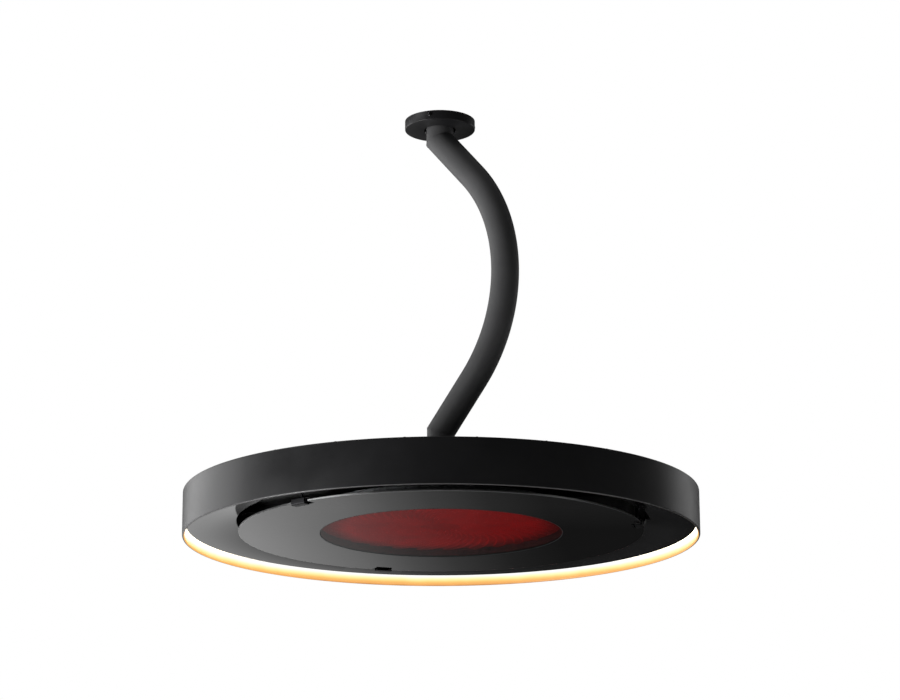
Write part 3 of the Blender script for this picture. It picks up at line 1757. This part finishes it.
@dataclass
class Heater:
    """The ribbon on its board, in the tray above the window."""

    shop: Workshop
    petals: int = 26
    inner: float = 48.0
    outer: float = 232.0
    sweep: float = 46.0
    pass_steps: int = 24
    bend_step: int = 15
    tail: int = 2
    ribbon_z: float = -870.3
    ribbon_h: float = 6.0
    strip_t: float = 0.5
    path_step: float = 1.1
    wave: float = 6.6
    wave_depth: float = 0.5
    board_z: float = -864.0
    board_t: float = 24.0
    ring_in: float = 246.5
    ring_out: float = 260.5
    ring_z: float = -879.0

    def build(self) -> None:
        """Builds the ribbon, the board and the ring and dresses the rest."""
        self.ribbon()
        self.board()
        self.shop.dress(SHEET, "heater_tray")
        self.shop.dress(ALUMINIUM, "tray_posts")
        self.shop.dress(RIBBON, "ribbon_terminals")
        self.shop.dress(CERAMIC, "thermal_cutout", "terminal_block")

    def petal(self) -> list[Point]:
        """The centreline of the first petal, up to the start of the next.

        Returns:
            Points in the XY plane.
        """
        half, steps = 90.0 / self.petals, self.pass_steps
        s, c = math.sin(math.radians(half)), math.cos(math.radians(half))
        turn_r = self.outer / (1 + s)
        radii = [self.inner + (turn_r * c - self.inner) * k / steps for k in range(steps + 1)]

        def swept(x: float, y: float) -> Point:
            """A point turned on by the sweep that belongs to its radius.

            Args:
                x: Its first coordinate.
                y: Its second coordinate.

            Returns:
                The turned point.
            """
            r = math.hypot(x, y)
            a = math.atan2(y, x) + math.radians(self.sweep) * (r - self.inner) / (self.outer - self.inner)
            return (r * math.cos(a), r * math.sin(a))

        def at(radius: float, degrees: float) -> Point:
            """A point by radius and azimuth."""
            return arc(radius, radius, [degrees])[0]

        rows = [at(r, -half) for r in radii]
        rows += arc(turn_r * s, turn_r * s, range(self.bend_step - 90, 90, self.bend_step), turn_r)
        rows += [at(r, half) for r in reversed(radii)]
        cx, cy = at(self.inner, 2 * half)
        for degrees in (30, -30):
            x, y = at(self.inner * s, 2 * half + degrees)
            rows.append((cx - x, cy - y))
        rows.append(at(self.inner, 3 * half))
        return [swept(x, y) for x, y in rows]

    def ribbon(self) -> None:
        """The corrugated strip, standing on edge below the board."""
        z = self.ribbon_z + self.ribbon_h / 2
        path = wire("petal", [(x, y, z) for x, y in self.petal()], False)
        mesh = ribbon_recipe().run("ribbon_strip", self.shop.finish(RIBBON), path, Petals=self.petals, Tail=self.tail,
                                   Step=self.path_step * MM, Wave=self.wave * MM, Depth=self.wave_depth * MM,
                                   Thickness=self.strip_t * MM, Height=self.ribbon_h * MM)
        self.shop.piece(mesh, "ribbon_strip", Body.HANGER, "glowing_ribbon", [RIBBON], ["heating_ribbon"])

    def board(self) -> None:
        """The fibre board and the fibre ring round the ribbon."""
        lo, hi, outer = self.board_z, self.board_z + self.board_t, self.ring_out
        outline = rounded([(0, lo, 0), (outer, lo, 0.6), (outer, hi, 1.0), (0, hi, 0)], 3)
        self.shop.piece(turned("board", outline, turns=192), "fibre_board", Body.HANGER, "insulation",
                        [GLOWING_FIBRE], ["insulation_board"])
        outline = rounded([(self.ring_in, self.ring_z, 1.2), (outer, self.ring_z, 0.8), (outer, lo, 0.2),
                           (self.ring_in, lo, 0.2)], 4)
        self.shop.piece(turned("ring", outline, turns=192), "fibre_ring", Body.HANGER, "insulation", [FIBRE],
                        ["insulation_ring"])


@dataclass
class Electrics:
    """The boxes under the top sheet."""

    shop: Workshop

    def build(self) -> None:
        """Dresses the control box and the light driver."""
        self.shop.dress(GREY_CASE, "control_box")
        self.shop.dress(WHITE_CASE, "light_driver")


# ---- Studio


class Side(Enum):
    """Which side of the object a soft light stands on."""

    LEFT = "left"
    LOW_LEFT = "low_left"
    LOW_RIGHT = "low_right"
    HIGH_LEFT = "high_left"
    RIGHT = "right"
    TOP = "top"


@dataclass(frozen=True)
class SoftLight:
    """A large soft light aimed at the object, with its size in metres and its power in watts."""

    side: Side
    place: Place
    width: float
    height: float
    power: float
    aim_z: float = -0.45

    def build(self) -> None:
        """Adds the light to the scene."""
        name = f"{self.side.value}_light"
        data = bpy.data.lights.new(name, "AREA")
        data.shape = "RECTANGLE"
        data.size, data.size_y = self.width, self.height
        data.energy = self.power
        light = placed(name, data)
        aim = Vector((0, 0, self.aim_z)) - Vector(self.place)
        light.matrix_world = Matrix.Translation(self.place) @ aim.to_track_quat("-Z", "Y").to_matrix().to_4x4()
        light.visible_camera = False


LIGHTS = (
    SoftLight(Side.LEFT, (-3.03, 1.50, -0.35), 3.4, 2.4, 50.0),
    SoftLight(Side.LOW_LEFT, (-2.4, -1.15, -1.85), 1.5, 1.5, 70.0),
    SoftLight(Side.HIGH_LEFT, (-2.2, -0.65, 1.4), 1.6, 1.6, 13.0),
    SoftLight(Side.RIGHT, (2.7, 2.1, -0.3), 1.6, 2.2, 8.6),
    SoftLight(Side.LOW_RIGHT, (2.5, -1.0, -2.1), 1.2, 1.2, 7.0),
    SoftLight(Side.TOP, (0.6, 0.6, 3.0), 2.6, 2.6, 5.0),
)


@dataclass(frozen=True)
class ReflectionCard:
    """A tall card behind and below the object that the glass mirrors: light at its left and dark at its right.

    Its brightness runs along a slanted line, x + slant * z, with middle at half of its stops. The spans of
    height give the rows where it is lifted beside the object and where it fades out at the top.
    """

    behind: float = 2.5
    half_w: float = 4.0
    low: float = -2.98
    high: float = -0.75
    slant: float = -0.40
    middle: float = 0.56
    reach: float = 1.0
    fade: tuple[float, float] = (-1.16, -1.02)
    lift_above: tuple[float, float] = (-1.47, -1.40)
    lift_below: tuple[float, float] = (-2.00, -1.72)
    lift: tuple[float, float] = (0.22, -0.42)
    lift_along: tuple[float, float] = (-0.30, 0.80)
    stops: tuple[tuple[float, float], ...] = (
        (0.0, 0.80), (0.22, 0.66), (0.30, 0.52), (0.37, 0.41), (0.44, 0.240), (0.50, 0.140), (0.585, 0.065),
        (0.67, 0.036), (1.0, 0.032))

    def material(self) -> Material:
        """Builds the card's light.

        Returns:
            The material.
        """
        b = Bench("card_light")
        place = b.add("SeparateXYZ", {"Vector": b.place}).outputs
        along = b.sum(place["X"], place["Z"], self.slant)
        level = b.span(along, 0.0, 1.0, self.middle - self.reach, self.middle + self.reach)
        colour = b.ramp(level, [(position, grey(value)) for position, value in self.stops])
        beside = b.math("ADD", b.span(place["Z"], 0.0, 1.0, *self.lift_above),
                        b.span(place["Z"], 1.0, 0.0, *self.lift_below))
        lift = b.math("MULTIPLY", beside, b.span(along, *self.lift, *self.lift_along))
        fade = b.span(place["Z"], 1.0, 0.0, *self.fade)
        glow = b.add("Emission", {"Color": colour, "Strength": b.math("MULTIPLY_ADD", lift, fade, fade)})
        return b.finish(glow.outputs[0])

    def corners(self) -> list[Point]:
        """Its corners, as distance to the right and height."""
        return [(-self.half_w, self.low), (self.half_w, self.low), (self.half_w, self.high), (-self.half_w, self.high)]


@dataclass
class Studio:
    """Floor, lights, background and camera."""

    floor_z: float = -3.0
    floor_half: float = 45.0
    floor_glow: float = 0.80
    mirrored_grey: float = 0.055
    card: ReflectionCard = ReflectionCard()
    camera_place: Place = (0.0, -5.668, -2.030)
    pitch: float = 0.2639
    yaw: float = 0.0034
    roll: float = 0.0040
    focal_px: float = 2848.4
    frame_w_px: int = 900
    sensor_w: float = 36.0

    def build(self) -> None:
        """Sets up everything that isn't the object."""
        bpy.context.scene.view_settings.view_transform = "Standard"
        self.camera()
        self.background()
        self.floor()
        self.reflection_card()
        for light in LIGHTS:
            light.build()

    def camera(self) -> None:
        """The camera at the photograph's viewing angle."""
        data = bpy.data.cameras.new("camera")
        data.sensor_fit = "HORIZONTAL"
        data.sensor_width = self.sensor_w
        data.lens = self.focal_px / self.frame_w_px * self.sensor_w
        p, y, roll = self.pitch, self.yaw, self.roll
        ahead = Vector((math.sin(y) * math.cos(p), math.cos(y) * math.cos(p), math.sin(p)))
        right = Vector((math.cos(y), -math.sin(y), 0))
        up = right.cross(ahead)
        image_right = right * math.cos(roll) - up * math.sin(roll)
        image_up = right * math.sin(roll) + up * math.cos(roll)
        camera = placed("camera", data)
        turn = Matrix((image_right, image_up, -ahead)).transposed()
        camera.matrix_world = Matrix.Translation(self.camera_place) @ turn.to_4x4()
        bpy.context.scene.camera = camera

    def background(self) -> None:
        """White behind the object, and an even dim grey for everything it mirrors."""
        world = bpy.data.worlds.new("studio")
        bpy.context.scene.world = world
        world.use_nodes = True
        nodes = world.node_tree.nodes
        nodes.clear()
        seen = nodes.new("ShaderNodeLightPath")
        white, dim = (nodes.new("ShaderNodeBackground") for _ in range(2))
        mix, out = nodes.new("ShaderNodeMixShader"), nodes.new("ShaderNodeOutputWorld")
        fill(white, {"Color": grey(1.0)})
        fill(dim, {"Color": grey(self.mirrored_grey)})
        fill(mix, {0: seen.outputs["Is Camera Ray"], 1: dim.outputs[0], 2: white.outputs[0]})
        fill(out, {"Surface": mix.outputs[0]})

    def floor(self) -> None:
        """A pale floor, seen from above only and lifted towards white for the camera."""
        b = Bench("pale_floor")
        cloud = b.noise(1.2, 4.0, 0.6)
        paint = b.add("BsdfDiffuse", {"Color": b.blend(cloud, grey(0.72), grey(0.78))})
        glow = b.add("Emission", {"Color": grey(self.floor_glow),
                                  "Strength": b.add("LightPath").outputs["Is Camera Ray"]})
        above = b.add("AddShader", {0: paint.outputs[0], 1: glow.outputs[0]})
        below = b.add("BsdfTransparent")
        mix = b.add("MixShader", {0: b.add("NewGeometry").outputs["Backfacing"], 1: above.outputs[0],
                                  2: below.outputs[0]})
        half = self.floor_half
        self.panel("studio_floor", [(-half, -half), (half, -half), (half, half), (-half, half)],
                   lambda u, v: (u, v, self.floor_z), b.finish(mix.outputs[0]))

    def reflection_card(self) -> None:
        """The card that the glass mirrors, which shows in mirrors only."""
        card = self.panel("reflection_card", self.card.corners(), lambda u, v: (u, self.card.behind, v),
                          self.card.material())
        card.visible_camera = False
        card.visible_diffuse = False
        card.visible_shadow = False
        card.visible_transmission = False

    def panel(self, name: str, corners: Sequence[Point], place: Callable[[float, float], Place],
              material: Material) -> bpy.types.Object:
        """A flat part of the stage.

        Args:
            name: Its name.
            corners: Its corners in its own plane.
            place: What turns a corner into a point of the room.
            material: Its material.

        Returns:
            The panel.
        """
        mesh = bpy.data.meshes.new(name)
        mesh.from_pydata([place(u, v) for u, v in corners], [], [tuple(range(len(corners)))])
        mesh.materials.append(material)
        thing = placed(name, mesh)
        return thing


def main() -> None:
    """Builds the sub-assemblies in order."""
    logging.basicConfig(level=logging.INFO, format="%(name)s: %(message)s")
    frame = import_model()
    shop = Workshop(frame)
    Studio().build()
    for assembly in (CeilingMount(shop), Pole(shop), Housing(shop), LightRing(shop), GlassPanel(shop),
                     Heater(shop), Electrics(shop)):
        LOG.info("building %s", type(assembly).__name__)
        assembly.build()


if __name__ == "__main__":
    main()
